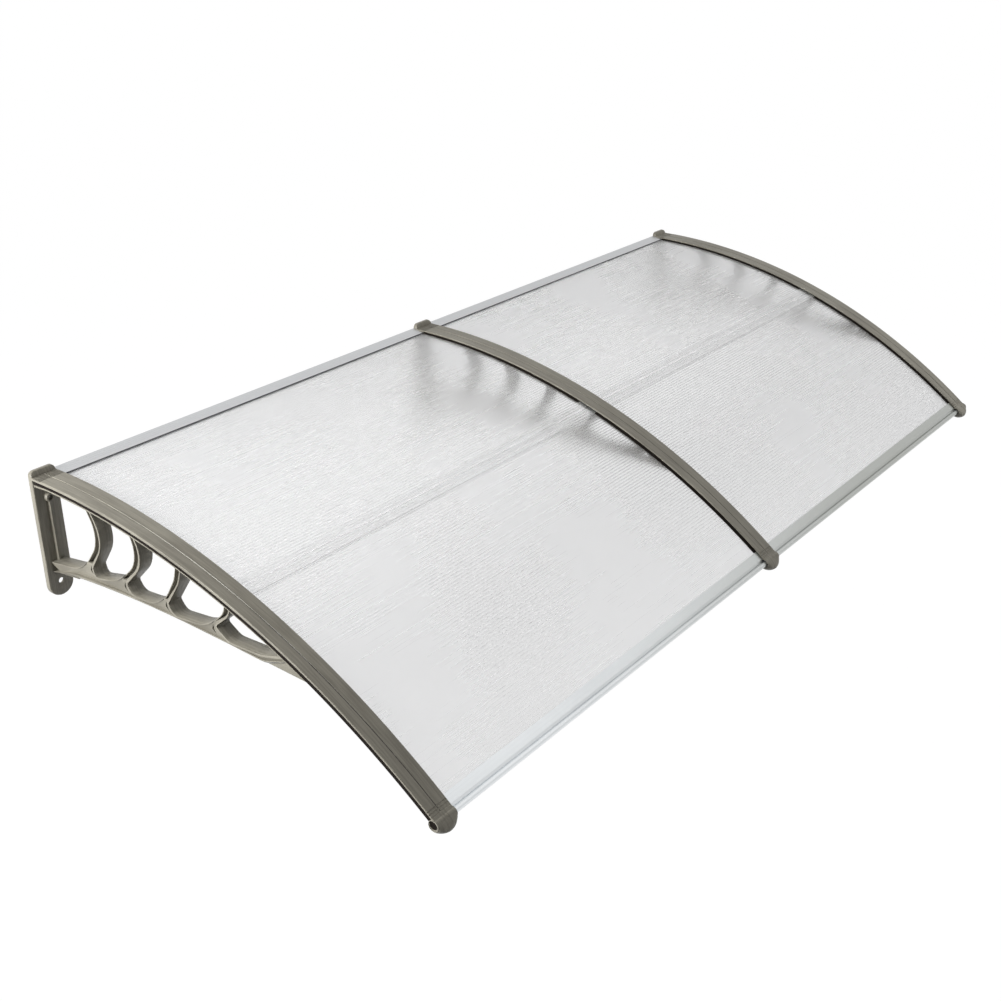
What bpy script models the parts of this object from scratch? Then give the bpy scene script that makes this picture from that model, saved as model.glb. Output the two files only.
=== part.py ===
"""Door canopy: three moulded wall brackets carry curved twin-wall sheets.

The wall is the plane Y = 0 and the canopy reaches towards -Y. Z is up, X runs
along the wall. The origin is on the middle bracket's back face, level with the
crest of the arc that the top flanges follow. Lengths are in metres.

Side outlines are drawn in two ways. (reach, z) measures straight out from the
wall. (run, depth) follows the arc: run is the length along it from its crest,
depth is measured squarely down from it.
"""
import math

import bmesh
import bpy
import numpy as np

# Layout
BAY = 1.000
BAYS = 2
GAP = 0.0003
CURVE_ERROR = 0.0002
WELD = 0.000002
FLAT_ANGLE = math.radians(0.1)
SHARP_ANGLE = math.radians(28)

# Arc of the roof
ARC_RADIUS = 1.4352
CREST_REACH = 0.0358
NOSE_RUN = 0.9370

# Bracket flanges and the slot between them
FLANGE_THICK = 0.0044
FLANGE_HALF_WALL = 0.0255
FLANGE_TAPER = 0.0040
FLANGE_STATIONS = 24
SLOT_HEIGHT = 0.0072
SLOT_CLEAR = 0.0004
WEB_STATIONS = 12
WEB_HALF = 0.0020
WEB_START_REACH = 0.0080
LOWER_FLANGE_THICK = 0.0035
LOWER_FLANGE_STEP = 0.0025
LOWER_FLANGE_RUN = 0.645
LOWER_FLANGE_STATIONS = 16
LEAD_IN_DROP = 0.0030
LEAD_IN_REACH = 0.055
LEAD_IN_CURVE = 1.5
LIP_HALF = 0.0105
LIP_THICK = 0.0060
LIP_STATIONS = 12
# Shares of the lower flange's thickness that the truss and the web reach into it
TRUSS_BITE = 0.4
WEB_BITE = 0.3

# Wall plate
PLATE_HALF = 0.0250
PLATE_THICK = 0.0100
PLATE_RISE = 0.0090
PLATE_CORNER = 0.0085
TAB_CENTRE_DROP = 0.2150
PLATE_EDGE_ROUND = 0.0022
TAB_HOLE_DROP = 0.2110
TAB_HOLE_RADIUS = 0.0056
TAB_BACK_RADIUS = 0.0100
TAB_BACK_DEPTH = 0.0055
BOSS_DROP = 0.0435
BOSS_RADIUS = 0.0080
BOSS_REACH = 0.0190
BOSS_HOLE_RADIUS = 0.0048
PLATE_RIB_REACH = 0.0168

# Truss under the slot
TRUSS_HALF = 0.0115
RIM_HALF = 0.0135
RIM_WALL = 0.0030
RIM_FRONT_SHARE = 0.7
THIN_WALL = 0.0015
POCKET_WIDTH = 0.0135
STEP = 0.0004
CHORD_WALL_Z = -0.1942
CHORD_Z = -0.1712
CHORD_LEVEL_REACH = 0.358
CHORD_CURVE = 2.0
CHORD_STATIONS = 9
CHORD_END_Z = -0.1745
TRUSS_TOP_STATIONS = 14
CHORD_ROUND = 0.0090
CHORD_RISE_REACH = 0.552
CHORD_RISE_ROUND = 0.060
TRUSS_END_REACH = 0.622
GUSSET_START_REACH = 0.545
GUSSET_END_REACH = 0.685
SHELF_END_REACH = 0.075
WALL_POCKET_REACH = 0.030
CUSP_Z = -0.1388
LOBE_Z = -0.1567
BELLY_ROUND = 0.060
CUSP_ROUND = 0.005
LOBE_ROUND = 0.026
FLOOR_ROUND = 0.080
FLOOR_WALL_Z = -0.1685
LAST_FLOOR = (0.5511, -0.1523)
LAST_TIP_REACH = 0.612
ALMOND = ((-0.0055, 0.0020), (-0.0085, -0.0085), (0.0020, -0.0175), (-0.0038, -0.0090))
ALMOND_DEPTH = 0.0060
TOP_GUSSET = (0.012, 0.018)
GUSSET_HALF = 0.0018
# Each divider: reach of its top, of its belly, of its cusp and of the lobe
# in front of it, the belly's height, and the floor corner of the opening behind.
DIVIDERS = (
    {"top": 0.1406, "belly": 0.1759, "belly_z": -0.0770, "cusp": 0.1326,
     "lobe": 0.1372, "floor": (0.1024, -0.1534)},
    {"top": 0.2529, "belly": 0.2826, "belly_z": -0.0802, "cusp": 0.2243,
     "lobe": 0.2372, "floor": (0.2027, -0.1413)},
    {"top": 0.3759, "belly": 0.3648, "belly_z": -0.0894, "cusp": 0.3305,
     "lobe": 0.3438, "floor": (0.3129, -0.1502)},
    {"top": 0.4830, "belly": 0.4876, "belly_z": -0.1025, "cusp": 0.4450,
     "lobe": 0.4752, "floor": (0.4268, -0.1463)},
)

# Nose of the bracket
NOSE_DEPTH = 0.0082
NOSE_HALF = 0.0220
NOSE_END_RADIUS = 0.0104
NOSE_MID_RADIUS = 0.0210
NOSE_PROUD = 0.0004
NOSE_STATIONS = 7
NOSE_STEPS = 6
NOSE_WEB_HALF = 0.0025
RECESS_RADIUS = 0.0070

# Twin-wall sheets
SHEET_THICK = 0.0040
FLUTE_PITCH = 0.0062
SHEET_SKIN = 0.0005
SHEET_RIB = 0.0005
SHEET_WALL_CLEAR = 0.0010
SHEET_END_CLEAR = 0.0015

# Connector between the rear and front sheet
CONNECTOR_RUN = 0.4475
CONNECTOR_WIDTH = 0.0450
CONNECTOR_WEB = 0.0012
CONNECTOR_STATIONS = 5
PROFILE_LIP = 0.0009
PROFILE_END_CLEAR = 0.0015

# Rear bar against the wall
REAR_BAR_REACH = 0.0280
REAR_BAR_SKIN = 0.0012
REAR_BAR_BACK = 0.0015
REAR_BAR_DROP = 0.0005

# Front bar at the drip edge, set back from the centre of its bead at the nose
FRONT_BAR_WIDTH = 0.0280
FRONT_BAR_WEB_BACK = 0.0120
FRONT_BAR_SHOULDER_BACK = 0.0080
BEAD_RADIUS = 0.0060
BEAD_NECK_HALF = 0.0018
BEAD_STEPS = 16

# What follows from the sizes above
SLOT_TOP = FLANGE_THICK
SLOT_BOTTOM = SLOT_TOP + SLOT_HEIGHT
SHEET_TOP = SLOT_TOP + SLOT_CLEAR + PROFILE_LIP + GAP
SHEET_BOTTOM = SHEET_TOP + SHEET_THICK
PROFILE_TOP = SHEET_TOP - GAP - PROFILE_LIP
PROFILE_BOTTOM = SHEET_BOTTOM + GAP + PROFILE_LIP
TRUSS_TOP_DEPTH = SLOT_BOTTOM + TRUSS_BITE * LOWER_FLANGE_THICK
CUT_TOP_DEPTH = SLOT_BOTTOM - TRUSS_BITE * LOWER_FLANGE_THICK


def on_arc(run, depth):
    """Return (reach, z) of a point given along and below the arc."""
    angle = run / ARC_RADIUS
    radius = ARC_RADIUS - depth
    reach = CREST_REACH + radius * math.sin(angle)
    return reach, radius * math.cos(angle) - ARC_RADIUS


def run_at(reach, depth=0.0):
    """Return the run at which a line of the given depth has this reach."""
    return ARC_RADIUS * math.asin((reach - CREST_REACH) / (ARC_RADIUS - depth))


def z_under(reach, depth):
    """Return the height of the line of the given depth at this reach."""
    return on_arc(run_at(reach, depth), depth)[1]


def flange_half(run):
    """Half width of the top flange: it narrows evenly from the wall to the nose."""
    share = (run + CREST_REACH) / (NOSE_RUN + CREST_REACH)
    return FLANGE_HALF_WALL - FLANGE_TAPER * share


def arc_steps(radius, turn):
    """Number of straight steps that keeps an arc within the curve error."""
    step = 2 * math.acos(max(0.0, 1 - CURVE_ERROR / radius))
    return max(2, math.ceil(abs(turn) / step))


def rounded(corners):
    """Turn (a, b, radius) corners into an outline with an arc at each one.

    A radius is held back where the sides beside its corner are too short.
    """
    outline = []
    count = len(corners)
    for index, (a, b, radius) in enumerate(corners):
        here = np.array((a, b))
        if radius == 0:
            outline.append(here)
            continue
        last = corners[index - 1]
        after = corners[(index + 1) % count]
        to_last = np.array(last[:2]) - here
        to_next = np.array(after[:2]) - here
        room_last = np.linalg.norm(to_last) * (0.5 if last[2] else 1.0)
        room_next = np.linalg.norm(to_next) * (0.5 if after[2] else 1.0)
        to_last /= np.linalg.norm(to_last)
        to_next /= np.linalg.norm(to_next)
        half = math.acos(np.clip(to_last @ to_next, -1, 1)) / 2
        setback = min(radius / math.tan(half), room_last, room_next)
        radius = setback * math.tan(half)
        bisector = (to_last + to_next) / np.linalg.norm(to_last + to_next)
        centre = here + bisector * radius / math.sin(half)
        start = here + to_last * setback - centre
        end = here + to_next * setback - centre
        first = math.atan2(start[1], start[0])
        turn = math.atan2(end[1], end[0]) - first
        turn = (turn + math.pi) % (2 * math.pi) - math.pi
        steps = arc_steps(radius, turn)
        for step in range(steps + 1):
            angle = first + turn * step / steps
            outline.append(centre + radius * np.array((math.cos(angle), math.sin(angle))))
    steps = [np.linalg.norm(point - outline[index - 1]) for index, point in enumerate(outline)]
    return [point for point, step in zip(outline, steps) if step > GAP]


def circle(centre, radius):
    """Points round a circle in the plane of a side outline."""
    count = 2 * arc_steps(radius, 2 * math.pi)
    angles = [2 * math.pi * index / count for index in range(count)]
    return [(centre[0] + radius * math.cos(a), centre[1] + radius * math.sin(a)) for a in angles]


def mesh_object(name, vertices, faces):
    """Make an object from vertices and faces, with its faces turned outwards."""
    mesh = bpy.data.meshes.new(name)
    mesh.from_pydata(vertices, [], faces)
    shape = bmesh.new()
    shape.from_mesh(mesh)
    bmesh.ops.recalc_face_normals(shape, faces=shape.faces)
    shape.to_mesh(mesh)
    shape.free()
    item = bpy.data.objects.new(name, mesh)
    bpy.context.scene.collection.objects.link(item)
    return item


def loft(name, rings):
    """Skin a row of rings that have as many points each, and close both ends."""
    size = len(rings[0])
    vertices = [point for ring in rings for point in ring]
    faces = [tuple(range(size)), tuple(range(len(vertices) - size, len(vertices)))]
    for start in range(0, len(vertices) - size, size):
        for index in range(size):
            after = (index + 1) % size
            faces.append((start + index, start + after, start + size + after, start + size + index))
    return mesh_object(name, vertices, faces)


def prism(name, outline, x_low, x_high):
    """Extrude a (reach, z) outline along X."""
    rings = [[(x, -reach, z) for reach, z in outline] for x in (x_low, x_high)]
    return loft(name, rings)


def arc_strip(name, runs, top, bottom, half):
    """Sweep a flat rectangle along the arc; depths and half width follow the run."""
    rings = []
    for run in runs:
        high, low = on_arc(run, top(run)), on_arc(run, bottom(run))
        width = half(run)
        rings.append([
            (-width, -high[0], high[1]), (width, -high[0], high[1]),
            (width, -low[0], low[1]), (-width, -low[0], low[1]),
        ])
    return loft(name, rings)


def combine(target, tool, operation):
    """Apply one exact boolean to the target and delete the tool."""
    modifier = target.modifiers.new(operation, "BOOLEAN")
    modifier.operation = operation
    modifier.solver = "EXACT"
    modifier.object = tool
    bpy.context.view_layer.update()
    graph = bpy.context.evaluated_depsgraph_get()
    result = bpy.data.meshes.new_from_object(target.evaluated_get(graph))
    shape = bmesh.new()
    shape.from_mesh(result)
    bmesh.ops.remove_doubles(shape, verts=shape.verts, dist=WELD)
    shape.to_mesh(result)
    shape.free()
    target.modifiers.remove(modifier)
    old = target.data
    target.data = result
    bpy.data.meshes.remove(old)
    tool_mesh = tool.data
    bpy.data.objects.remove(tool)
    bpy.data.meshes.remove(tool_mesh)


def add(target, tool):
    combine(target, tool, "UNION")


def cut(target, tool):
    combine(target, tool, "DIFFERENCE")


def cut_both_sides(target, outline, inner, outer):
    """Sink a pocket with this outline into both faces, leaving the middle."""
    for side in (-1, 1):
        low, high = sorted((side * inner, side * outer))
        cut(target, prism("pocket", outline, low, high))


def opening_corners(number, margin=0.0):
    """Corners of an opening in the truss, numbered outwards from the wall.

    A margin moves the rear side and the floor outwards, for the rim around it;
    the rim's front side then stays inside the opening.
    """
    lower = -margin
    top = TRUSS_TOP_DEPTH if margin else CUT_TOP_DEPTH
    if number == 0:
        corners = [
            (PLATE_THICK / 2, z_under(PLATE_THICK / 2, top), 0),
            (PLATE_THICK / 2, FLOOR_WALL_Z + lower, 0),
        ]
    else:
        rear = DIVIDERS[number - 1]
        shift = RIM_WALL / 2 - margin
        corners = [
            (rear["top"] + shift, z_under(rear["top"], top), 0),
            (rear["belly"] + shift, rear["belly_z"], BELLY_ROUND),
            (rear["cusp"] + shift, CUSP_Z, CUSP_ROUND),
            (rear["lobe"] + shift, LOBE_Z + lower, LOBE_ROUND + margin),
        ]
    if number == len(DIVIDERS):
        corners += [
            (LAST_FLOOR[0], LAST_FLOOR[1] + lower, FLOOR_ROUND),
            (LAST_TIP_REACH + margin, z_under(LAST_TIP_REACH + margin, top), 0),
        ]
    else:
        front = DIVIDERS[number]
        inset = RIM_FRONT_SHARE * margin
        back = POCKET_WIDTH + inset
        corners += [
            (front["floor"][0] - inset, front["floor"][1] + lower, FLOOR_ROUND),
            (front["belly"] - back, front["belly_z"], BELLY_ROUND),
            (front["top"] - back, z_under(front["top"], top), 0),
        ]
    return corners


def grown(outline, distance):
    """Move an outline outwards along its normals by a small distance."""
    points = np.array(outline)
    along = np.roll(points, -1, axis=0) - np.roll(points, 1, axis=0)
    along /= np.linalg.norm(along, axis=1)[:, None]
    normals = np.stack((along[:, 1], -along[:, 0]), axis=1)
    area = np.sum(points[:, 0] * np.roll(points[:, 1], -1) - points[:, 1] * np.roll(points[:, 0], -1))
    return points + normals * distance * math.copysign(1, area)


def chord_z(reach):
    """Height of the chord's underside: highest at one reach, it drops to the wall and to its end."""
    past = reach - CHORD_LEVEL_REACH
    if past < 0:
        drop, share = CHORD_WALL_Z - CHORD_Z, -past / CHORD_LEVEL_REACH
    else:
        drop, share = CHORD_END_Z - CHORD_Z, past / (CHORD_RISE_REACH - CHORD_LEVEL_REACH)
    return CHORD_Z + drop * share ** CHORD_CURVE


def truss_outline():
    """Outline of the truss from the wall to its tip, before it is opened up."""
    start = PLATE_THICK / 2
    ends = [run_at(reach, TRUSS_TOP_DEPTH) for reach in (TRUSS_END_REACH, start)]
    top = [(*on_arc(run, TRUSS_TOP_DEPTH), 0) for run in np.linspace(*ends, TRUSS_TOP_STATIONS)]
    reaches = np.linspace(start, CHORD_RISE_REACH, CHORD_STATIONS)[:-1]
    bottom = [(reach, chord_z(reach), 0) for reach in reaches]
    tip = (TRUSS_END_REACH, z_under(TRUSS_END_REACH, SLOT_BOTTOM + LOWER_FLANGE_THICK), 0)
    return rounded(top + bottom + [(CHORD_RISE_REACH, CHORD_END_Z, CHORD_RISE_ROUND), tip])


def build_truss():
    """Chord and dividers: a solid blank with rims, then openings and pockets."""
    truss = prism("truss", truss_outline(), -TRUSS_HALF, TRUSS_HALF)
    round_chord(truss)
    openings = [rounded(opening_corners(number)) for number in range(len(DIVIDERS) + 1)]
    for number in range(len(openings)):
        rim = rounded(opening_corners(number, RIM_WALL))
        add(truss, prism("rim", rim, -RIM_HALF, RIM_HALF))
    shelf = [(reach, chord_z(reach) - STEP) for reach in (PLATE_THICK / 2, SHELF_END_REACH)]
    shelf += [(reach, z + RIM_WALL) for reach, z in reversed(shelf)]
    add(truss, prism("shelf", shelf, -RIM_HALF, RIM_HALF))
    for number, divider in enumerate(DIVIDERS):
        cut_pocket(truss, divider, openings[number])
        cut_both_sides(truss, almond(divider), ALMOND_DEPTH, 2 * RIM_HALF)
    wall_pocket = [
        (PLATE_THICK / 2, FLOOR_WALL_Z - RIM_WALL - STEP),
        (PLATE_THICK / 2, chord_z(PLATE_THICK / 2) + RIM_WALL),
        (WALL_POCKET_REACH, (FLOOR_WALL_Z - RIM_WALL + chord_z(WALL_POCKET_REACH)) / 2),
    ]
    cut_both_sides(truss, wall_pocket, WEB_HALF, 2 * RIM_HALF)
    for outline in openings:
        cut(truss, prism("opening", outline, -2 * RIM_HALF, 2 * RIM_HALF))
    return truss


def round_chord(truss):
    """Round the two long bottom edges of the chord."""
    shape = bmesh.new()
    shape.from_mesh(truss.data)
    chosen = []
    for edge in shape.edges:
        first, second = edge.verts
        along = abs(first.co.y - second.co.y) > GAP
        below = all(v.co.z < z_under(-v.co.y, SLOT_BOTTOM) - LIP_THICK or v.co.y < -CHORD_RISE_REACH
                    for v in edge.verts)
        under = abs(edge.calc_face_angle()) > math.radians(60)
        if along and below and under and first.co.z < z_under(-first.co.y, SLOT_BOTTOM + LIP_THICK):
            chosen.append(edge)
    bmesh.ops.bevel(shape, geom=chosen, offset=CHORD_ROUND, segments=2, profile=0.5, affect="EDGES")
    shape.to_mesh(truss.data)
    shape.free()


def cut_pocket(truss, divider, opening_behind):
    """Sink the narrow pocket between an opening's thin wall and the next rim."""
    half_wall = RIM_WALL / 2 + STEP
    rim_back = [
        (divider["top"] - half_wall, z_under(divider["top"], CUT_TOP_DEPTH), 0),
        (divider["belly"] - half_wall, divider["belly_z"], BELLY_ROUND),
        (divider["cusp"] - half_wall, CUSP_Z + 2 * RIM_WALL, 0),
        (divider["cusp"] - 2 * POCKET_WIDTH, CUSP_Z + 2 * RIM_WALL, 0),
        (divider["top"] - 2 * POCKET_WIDTH, z_under(divider["top"], CUT_TOP_DEPTH), 0),
    ]
    for side in (-1, 1):
        low, high = sorted((side * WEB_HALF, side * 2 * RIM_HALF))
        tool = prism("pocket", rounded(rim_back), low, high)
        cut(tool, prism("wall", grown(opening_behind, THIN_WALL), -3 * RIM_HALF, 3 * RIM_HALF))
        cut(truss, tool)


def almond(divider):
    """Small pointed pocket that follows the lobe's rim below the cusp."""
    return [(divider["cusp"] + across, CUSP_Z + up) for across, up in ALMOND]


def build_plate():
    """Wall plate with its rounded top, round tab, boss, holes and middle rib.

    The tab's screw hole is wider at the back, where the moulding is hollowed out.
    """
    corners = [
        (-PLATE_HALF, PLATE_RISE, PLATE_CORNER), (PLATE_HALF, PLATE_RISE, PLATE_CORNER),
        (PLATE_HALF, -TAB_CENTRE_DROP - PLATE_HALF, PLATE_HALF),
        (-PLATE_HALF, -TAB_CENTRE_DROP - PLATE_HALF, PLATE_HALF),
    ]
    outline = rounded(corners)
    plate = loft("plate", [[(x, -reach, z) for x, z in outline] for reach in (0.0, PLATE_THICK)])
    shape = bmesh.new()
    shape.from_mesh(plate.data)
    front = [e for e in shape.edges if all(abs(v.co.y + PLATE_THICK) < GAP for v in e.verts)]
    bmesh.ops.bevel(shape, geom=front, offset=PLATE_EDGE_ROUND, segments=2, profile=0.5, affect="EDGES")
    shape.to_mesh(plate.data)
    shape.free()
    rib = [
        (PLATE_THICK / 2, -BOSS_DROP), (PLATE_RIB_REACH, -BOSS_DROP),
        (PLATE_RIB_REACH, FLOOR_WALL_Z - RIM_WALL / 2), (PLATE_THICK / 2, FLOOR_WALL_Z - RIM_WALL / 2),
    ]
    add(plate, prism("rib", rib, -WEB_HALF, WEB_HALF))
    add(plate, wall_cylinder(BOSS_DROP, BOSS_RADIUS, PLATE_THICK / 2, BOSS_REACH))
    hole_end = 2 * BOSS_REACH
    cut(plate, wall_cylinder(BOSS_DROP, BOSS_HOLE_RADIUS, -PLATE_THICK, hole_end))
    cut(plate, wall_cylinder(TAB_HOLE_DROP, TAB_HOLE_RADIUS, -PLATE_THICK, hole_end))
    cut(plate, wall_cylinder(TAB_HOLE_DROP, TAB_BACK_RADIUS, -PLATE_THICK, TAB_BACK_DEPTH))
    return plate


def wall_cylinder(drop, radius, reach_low, reach_high):
    """Cylinder square to the wall, for the boss and the screw holes."""
    around = circle((0.0, -drop), radius)
    return loft("cylinder", [[(x, -reach, z) for x, z in around] for reach in (reach_low, reach_high)])


def build_nose():
    """Pillow-shaped end of the bracket with a round recess in each side."""
    rings = []
    for x in np.linspace(-NOSE_HALF, NOSE_HALF, NOSE_STATIONS):
        swell = 1 - (x / NOSE_HALF) ** 2
        radius = NOSE_END_RADIUS + (NOSE_MID_RADIUS - NOSE_END_RADIUS) * swell
        rise = NOSE_DEPTH + NOSE_PROUD
        profile = [(NOSE_RUN - NOSE_END_RADIUS, -NOSE_PROUD)]
        turns = np.linspace(0, math.pi / 2, NOSE_STEPS + 1)
        for turn in turns:
            run = NOSE_RUN + radius * math.sin(turn)
            profile.append((run, NOSE_DEPTH - rise * math.cos(turn)))
        for turn in turns[1:]:
            run = NOSE_RUN + radius * math.cos(turn)
            profile.append((run, NOSE_DEPTH + radius * math.sin(turn)))
        for turn in turns[1:]:
            run = NOSE_RUN - NOSE_END_RADIUS * math.sin(turn)
            profile.append((run, NOSE_DEPTH + radius * math.cos(turn)))
        points = [on_arc(run, depth) for run, depth in profile]
        rings.append([(x, -reach, z) for reach, z in points])
    nose = loft("nose", rings)
    centre = on_arc(NOSE_RUN, NOSE_DEPTH)
    cut_both_sides(nose, circle(centre, RECESS_RADIUS), NOSE_WEB_HALF, 2 * NOSE_HALF)
    rear = NOSE_RUN - 2 * NOSE_END_RADIUS
    high, low = SLOT_TOP - GAP, SLOT_BOTTOM + GAP
    passage = [on_arc(rear, high), on_arc(NOSE_RUN, high), on_arc(NOSE_RUN, low), on_arc(rear, low)]
    cut_both_sides(nose, passage, NOSE_WEB_HALF, 2 * NOSE_HALF)
    return nose


def build_bracket(name, material):
    """One moulded bracket, centred on X = 0."""
    wall_run = run_at(PLATE_THICK / 2)
    tip_run = NOSE_RUN - NOSE_END_RADIUS / 2
    runs = np.linspace(wall_run, tip_run, FLANGE_STATIONS)
    lower_runs = np.linspace(wall_run, LOWER_FLANGE_RUN, LOWER_FLANGE_STATIONS)

    def slot_floor(run):
        reach = on_arc(run, SLOT_BOTTOM)[0]
        return SLOT_BOTTOM + LEAD_IN_DROP * max(0.0, 1 - reach / LEAD_IN_REACH) ** LEAD_IN_CURVE

    bracket = build_plate()
    add(bracket, build_truss())
    add(bracket, arc_strip("top_flange", runs, lambda run: 0.0, lambda run: SLOT_TOP, flange_half))
    add(bracket, arc_strip(
        "lower_flange", lower_runs, slot_floor, lambda run: slot_floor(run) + LOWER_FLANGE_THICK,
        lambda run: flange_half(run) - LOWER_FLANGE_STEP))
    lip_runs = np.linspace(LOWER_FLANGE_RUN - LIP_HALF, tip_run, LIP_STATIONS)
    lip_top = SLOT_BOTTOM + GAP / 2
    add(bracket, arc_strip(
        "lip", lip_runs, lambda run: lip_top, lambda run: SLOT_BOTTOM + LIP_THICK,
        lambda run: LIP_HALF))
    web_runs = np.linspace(run_at(WEB_START_REACH), tip_run - FLANGE_THICK, WEB_STATIONS)
    add(bracket, arc_strip(
        "web", web_runs, lambda run: SLOT_TOP / 2,
        lambda run: slot_floor(run) + WEB_BITE * LOWER_FLANGE_THICK, lambda run: WEB_HALF))
    add(bracket, gusset())
    for divider in DIVIDERS:
        add(bracket, top_gusset(divider))
    add(bracket, build_nose())
    simplify(bracket)
    bracket.name = name
    bracket.data.name = "bracket"
    finish(bracket, material)
    return bracket


def simplify(item):
    """Merge the flat faces that the booleans have split."""
    shape = bmesh.new()
    shape.from_mesh(item.data)
    bmesh.ops.dissolve_limit(
        shape, angle_limit=FLAT_ANGLE, verts=shape.verts, edges=shape.edges)
    bmesh.ops.triangulate(shape, faces=shape.faces)
    shape.to_mesh(item.data)
    shape.free()


def gusset():
    """Thin web that carries the chord's end on to the lip."""
    depth = SLOT_BOTTOM + LIP_THICK - STEP
    top = [(reach, z_under(reach, SLOT_BOTTOM + 2 * STEP))
           for reach in np.linspace(GUSSET_END_REACH, TRUSS_END_REACH, 3)]
    outline = top + [
        (LAST_TIP_REACH, CHORD_END_Z / 2 + z_under(LAST_TIP_REACH, depth) / 2),
        (GUSSET_START_REACH, LAST_FLOOR[1] - 2 * RIM_WALL),
        (GUSSET_START_REACH, chord_z(GUSSET_START_REACH) + STEP),
        (GUSSET_END_REACH, z_under(GUSSET_END_REACH, depth)),
    ]
    return prism("gusset", outline, -GUSSET_HALF, GUSSET_HALF)


def top_gusset(divider):
    """Small triangle in the middle plane between a divider and the flange."""
    length, height = TOP_GUSSET
    depth = SLOT_BOTTOM + 2 * STEP
    top = divider["top"]
    outline = [
        (top, z_under(top, depth)), (top + RIM_WALL, z_under(top, depth) - height),
        (top + length + RIM_WALL, z_under(top + length + RIM_WALL, depth)),
    ]
    return prism("top_gusset", outline, -GUSSET_HALF, GUSSET_HALF)


def bay_span(bay, clear):
    """X range of a piece in a bay that stops clear of the brackets' middles."""
    left = BAY * (bay - BAYS / 2)
    return left + clear, left + BAY - clear


def build_sheet(name, bay, run_start, run_end, material):
    """Twin-wall sheet: two skins joined by ribs, with open flutes along X."""
    length = run_end - run_start
    flutes = round(length / FLUTE_PITCH)
    pitch = length / flutes
    rib = SHEET_RIB
    section = []
    for index in range(flutes + 1):
        run = run_start + pitch * index
        section += [on_arc(run, SHEET_TOP), on_arc(run, SHEET_BOTTOM)]
    first_flute = len(section)
    high, low = SHEET_TOP + SHEET_SKIN, SHEET_BOTTOM - SHEET_SKIN
    for index in range(flutes):
        start = run_start + pitch * index + (rib if index == 0 else rib / 2)
        end = run_start + pitch * (index + 1) - (rib if index == flutes - 1 else rib / 2)
        section += [on_arc(start, high), on_arc(end, high), on_arc(end, low), on_arc(start, low)]
    caps = sheet_end_faces(flutes, first_flute)
    walls = sheet_wall_edges(flutes, first_flute)
    size = len(section)
    x_low, x_high = bay_span(bay, WEB_HALF + SHEET_END_CLEAR)
    vertices = [(x, -reach, z) for x in (x_low, x_high) for reach, z in section]
    faces = [tuple(reversed(face)) for face in caps]
    faces += [tuple(point + size for point in face) for face in caps]
    faces += [(a, b, b + size, a + size) for a, b in walls]
    sheet = mesh_object(name, vertices, faces)
    finish(sheet, material)
    return sheet


def sheet_end_faces(flutes, first):
    """Faces that fill the cut end of the sheet between its flutes."""
    faces = []
    for index in range(flutes):
        top_left, low_left = 2 * index, 2 * index + 1
        top_right, low_right = top_left + 2, low_left + 2
        a, b, c, d = (first + 4 * index + corner for corner in range(4))
        faces += [(top_left, top_right, b, a), (d, c, low_right, low_left)]
        if index:
            faces.append((top_left, a, d, low_left, c - 4, b - 4))
    end = first + 4 * flutes - 4
    faces.append((0, first, first + 3, 1))
    faces.append((2 * flutes, 2 * flutes + 1, end + 2, end + 1))
    return faces


def sheet_wall_edges(flutes, first):
    """Edges of the section that sweep out the skins and the flutes."""
    edges = [(0, 1), (2 * flutes + 1, 2 * flutes)]
    for index in range(flutes):
        edges += [(2 * index + 2, 2 * index), (2 * index + 1, 2 * index + 3)]
        a, b, c, d = (first + 4 * index + corner for corner in range(4))
        edges += [(a, b), (b, c), (c, d), (d, a)]
    return edges


def profile_bar(name, bay, outline, clear, material):
    """Extruded profile that runs along a bay."""
    bar = prism(name, outline, *bay_span(bay, clear))
    finish(bar, material)
    return bar


def connector_outline():
    """H section that joins the rear and the front sheet."""
    runs = CONNECTOR_RUN + np.linspace(-0.5, 0.5, CONNECTOR_STATIONS) * CONNECTOR_WIDTH
    left, right = CONNECTOR_RUN - CONNECTOR_WEB / 2, CONNECTOR_RUN + CONNECTOR_WEB / 2
    top_inner, low_inner = PROFILE_TOP + PROFILE_LIP, PROFILE_BOTTOM - PROFILE_LIP
    outline = [(run, PROFILE_TOP) for run in runs]
    outline += [(runs[-1], top_inner), (right, top_inner), (right, low_inner), (runs[-1], low_inner)]
    outline += [(run, PROFILE_BOTTOM) for run in reversed(runs)]
    outline += [(runs[0], low_inner), (left, low_inner), (left, top_inner), (runs[0], top_inner)]
    return [on_arc(run, depth) for run, depth in outline]


def rear_bar_outline():
    """C section against the wall: a sloping top over the sheet's rear edge."""
    run = run_at(REAR_BAR_REACH, SHEET_TOP)
    wall = run_at(0.0, SHEET_TOP)
    back = run_at(REAR_BAR_BACK, SHEET_TOP)
    high, low = SHEET_TOP - GAP, SHEET_BOTTOM + GAP
    return [
        (0.0, -REAR_BAR_DROP), on_arc(run, high - REAR_BAR_SKIN), on_arc(run, high),
        (REAR_BAR_BACK, -REAR_BAR_DROP - REAR_BAR_SKIN), on_arc(back, low), on_arc(run, low),
        on_arc(run, low + REAR_BAR_SKIN), (0.0, on_arc(wall, low + REAR_BAR_SKIN)[1]),
    ]


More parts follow.
